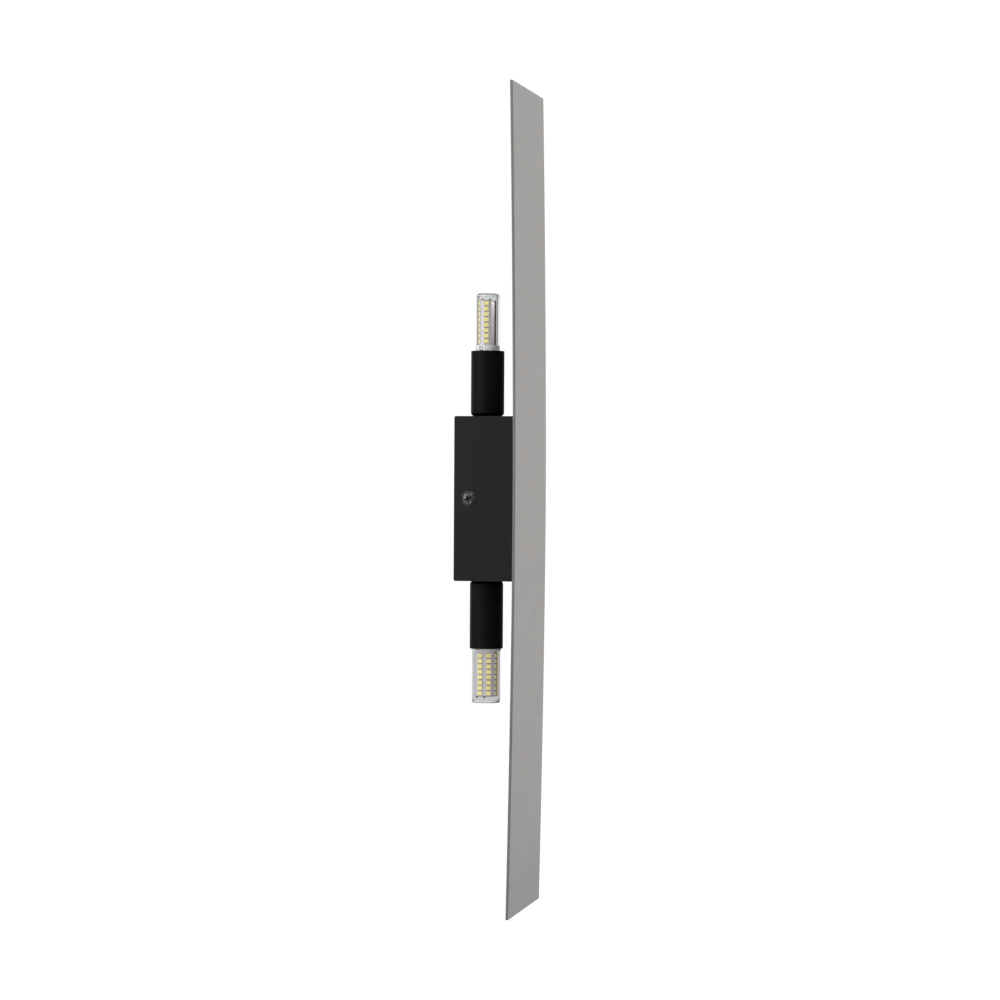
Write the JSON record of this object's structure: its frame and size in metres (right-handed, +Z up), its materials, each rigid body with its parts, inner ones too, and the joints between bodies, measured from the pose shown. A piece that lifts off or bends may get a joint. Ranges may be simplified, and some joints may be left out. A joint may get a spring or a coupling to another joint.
{
  "type": "wall sconce",
  "caption": "Up-and-down wall light: a long bowed satin metal plate in front of a black box housing, with a two-pin lamp in a round sleeve above and below.",
  "frame": {"origin": "middle of the two wall-screw slots, on the wall plane", "axes": "+Z up along the panel, +Y into the wall, so the light faces -Y; +X to the right seen from the front"},
  "size_m": [0.12, 0.0523, 0.6],
  "materials": {
    "panel_nickel": "satin nickel plate",
    "black_paint": "matte black powder coat",
    "dark_screw": "black passivated steel, glossy",
    "zinc_steel": "zinc plated",
    "brass": "plain",
    "ceramic": "unglazed steatite",
    "clear_cover": "clear moulded cover",
    "collar_plastic": "translucent pale plastic",
    "pin_wire": "bright plated wire",
    "circuit_board": "white solder mask on metal",
    "driver_board": "green circuit board with dark parts",
    "chip_phosphor": "yellow phosphor",
    "block_plastic": "natural nylon",
    "bushing_rubber": "black rubber",
    "wire_earth": "green and yellow insulation",
    "wire_live": "brown insulation",
    "wire_neutral": "blue insulation"
  },
  "bodies": {
    "fixture": {"wall_bracket": "zinc_steel", "tab_nuts": "zinc_steel", "cable_bushing": "bushing_rubber", "terminal_block": "block_plastic", "terminal_inserts": "brass", "terminal_screws": "zinc_steel", "block_screws": "zinc_steel", "earth_screw": "brass", "earth_lug": "zinc_steel", "earth_wire": "wire_earth", "live_wires": "wire_live", "neutral_wires": "wire_neutral", "housing": "black_paint", "front_panel": "panel_nickel", "panel_studs": "zinc_steel", "panel_washers": "zinc_steel", "panel_nuts": "zinc_steel", "nipple_nuts": "zinc_steel", "nipple_washers": "zinc_steel", "holder_screws": "zinc_steel", "upper_sleeve": "black_paint", "upper_nipple": "zinc_steel", "upper_holder_bridge": "zinc_steel", "upper_lampholder": "ceramic", "upper_contacts": "brass", "lower_sleeve": "black_paint", "lower_nipple": "zinc_steel", "lower_holder_bridge": "zinc_steel", "lower_lampholder": "ceramic", "lower_contacts": "brass"},
    "upper_lamp": {"upper_lamp_base": "collar_plastic", "upper_lamp_pins": "pin_wire", "upper_lamp_driver": "driver_board", "upper_lamp_board": "circuit_board", "upper_lamp_leds": "chip_phosphor", "upper_lamp_cover": "clear_cover"},
    "lower_lamp": {"lower_lamp_base": "collar_plastic", "lower_lamp_pins": "pin_wire", "lower_lamp_driver": "driver_board", "lower_lamp_board": "circuit_board", "lower_lamp_leds": "chip_phosphor", "lower_lamp_cover": "clear_cover"},
    "left_screw": {"side_screw_left": "dark_screw"},
    "right_screw": {"side_screw_right": "dark_screw"}
  },
  "joints": [
    {"name": "upper_lamp_pull", "type": "slide", "parent": "fixture", "child": "upper_lamp", "axis": [0, 0, 1], "range_m": [0, 0.032]},
    {"name": "lower_lamp_pull", "type": "slide", "parent": "fixture", "child": "lower_lamp", "axis": [0, 0, -1], "range_m": [0, 0.032]},
    {"name": "left_screw_out", "type": "slide", "parent": "fixture", "child": "left_screw", "axis": [-1, 0, 0], "range_m": [0, 0.01]},
    {"name": "right_screw_out", "type": "slide", "parent": "fixture", "child": "right_screw", "axis": [1, 0, 0], "range_m": [0, 0.01]}
  ]
}
